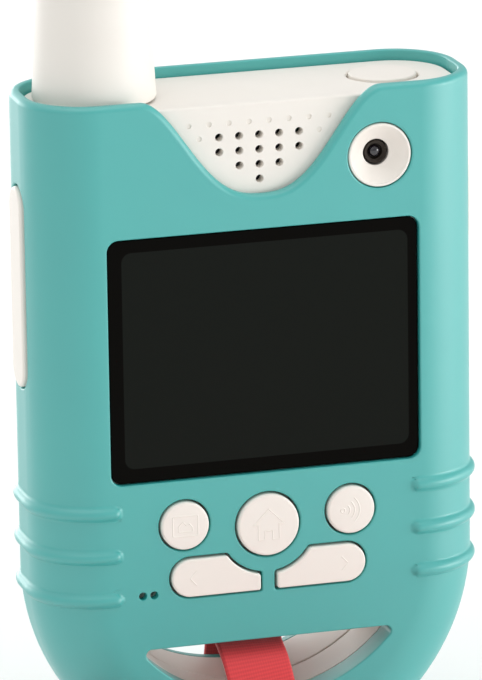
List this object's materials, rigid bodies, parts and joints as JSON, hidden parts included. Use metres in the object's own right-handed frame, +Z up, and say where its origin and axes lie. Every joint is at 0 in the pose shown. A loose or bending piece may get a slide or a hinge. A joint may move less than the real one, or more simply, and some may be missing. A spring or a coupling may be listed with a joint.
{
  "type": "toy walkie talkie",
  "caption": "Handheld toy two-way radio with a screen, camera, front buttons, side keys and stub antenna in a ribbed silicone sleeve, with a ribbon wrist strap.",
  "frame": {"origin": "middle of the flat foot under the sleeve, on the surface the object stands on", "axes": "+Z up along the body towards the antenna, +Y towards the back (the screen faces -Y), +X to the viewer's right"},
  "size_m": [0.065, 0.0874, 0.1342],
  "materials": {
    "teal_silicone": "soft satin silicone",
    "white_plastic": "fine satin",
    "button_plastic": "fine satin",
    "black_glass": "black printed glass, gloss",
    "display": "dark display",
    "black_plastic": "satin",
    "lens_glass": "coated lens",
    "board": "solder mask",
    "flex_film": "polyimide film",
    "steel": "satin",
    "switch_metal": "satin",
    "copper": "bare copper wire",
    "chip": "moulded epoxy",
    "battery_film": "shrink film",
    "grey_rubber": "matte",
    "red_ribbon": "woven ribbon"
  },
  "bodies": {
    "casing": {"silicone_sleeve": "teal_silicone", "front_housing": "white_plastic", "rear_housing": "white_plastic", "antenna_cover": "white_plastic", "antenna_base": "black_plastic", "antenna_coil": "copper", "screen_glass": "black_glass", "display_panel": "display", "backlight_frame": "white_plastic", "display_cable": "flex_film", "camera_dish": "white_plastic", "camera_barrel": "black_plastic", "camera_lens": "lens_glass", "camera_module": "black_plastic", "main_board": "board", "power_board": "board", "radio_shield": "steel", "processor": "chip", "memory_chip": "chip", "charging_socket": "steel", "battery_pack": "battery_film", "speaker_frame": "black_plastic", "speaker_cone": "grey_rubber", "speaker_magnet": "steel", "microphone": "steel", "microphone_boot": "grey_rubber", "wrist_strap": "red_ribbon", "strap_keeper": "red_ribbon", "housing_screw_1": "steel", "housing_screw_2": "steel", "housing_screw_3": "steel", "housing_screw_4": "steel", "home_switch": "switch_metal", "picture_switch": "switch_metal", "voice_switch": "switch_metal", "left_arrow_switch": "switch_metal", "right_arrow_switch": "switch_metal", "power_switch": "switch_metal", "talk_switch": "switch_metal", "volume_up_switch": "switch_metal", "volume_down_switch": "switch_metal"},
    "home_button": {"home_button": "button_plastic"},
    "picture_button": {"picture_button": "button_plastic"},
    "voice_button": {"voice_button": "button_plastic"},
    "left_arrow_button": {"left_arrow_button": "button_plastic"},
    "right_arrow_button": {"right_arrow_button": "button_plastic"},
    "power_button": {"power_button": "button_plastic"},
    "talk_key": {"talk_key": "button_plastic"},
    "volume_rocker": {"volume_rocker": "button_plastic"}
  },
  "joints": [
    {"name": "home_press", "type": "slide", "parent": "casing", "child": "home_button", "axis": [0, 1, 0], "range_m": [0, 0.0006], "stiffness_N_per_m": 600},
    {"name": "picture_press", "type": "slide", "parent": "casing", "child": "picture_button", "axis": [0, 1, 0], "range_m": [0, 0.0006], "stiffness_N_per_m": 600},
    {"name": "voice_press", "type": "slide", "parent": "casing", "child": "voice_button", "axis": [0, 1, 0], "range_m": [0, 0.0006], "stiffness_N_per_m": 600},
    {"name": "left_arrow_press", "type": "slide", "parent": "casing", "child": "left_arrow_button", "axis": [0, 1, 0], "range_m": [0, 0.0006], "stiffness_N_per_m": 600},
    {"name": "right_arrow_press", "type": "slide", "parent": "casing", "child": "right_arrow_button", "axis": [0, 1, 0], "range_m": [0, 0.0006], "stiffness_N_per_m": 600},
    {"name": "power_press", "type": "slide", "parent": "casing", "child": "power_button", "axis": [0, 0, -1], "range_m": [0, 0.0006], "stiffness_N_per_m": 600},
    {"name": "talk_press", "type": "slide", "parent": "casing", "child": "talk_key", "axis": [1, 0, 0], "range_m": [0, 0.0006], "stiffness_N_per_m": 700},
    {"name": "volume_rock", "type": "hinge", "parent": "casing", "child": "volume_rocker", "pos_m": [0.0277, 0, 0.0783], "axis": [0, 1, 0], "range_deg": [-4, 4], "stiffness_Nm_per_rad": 0.02}
  ]
}
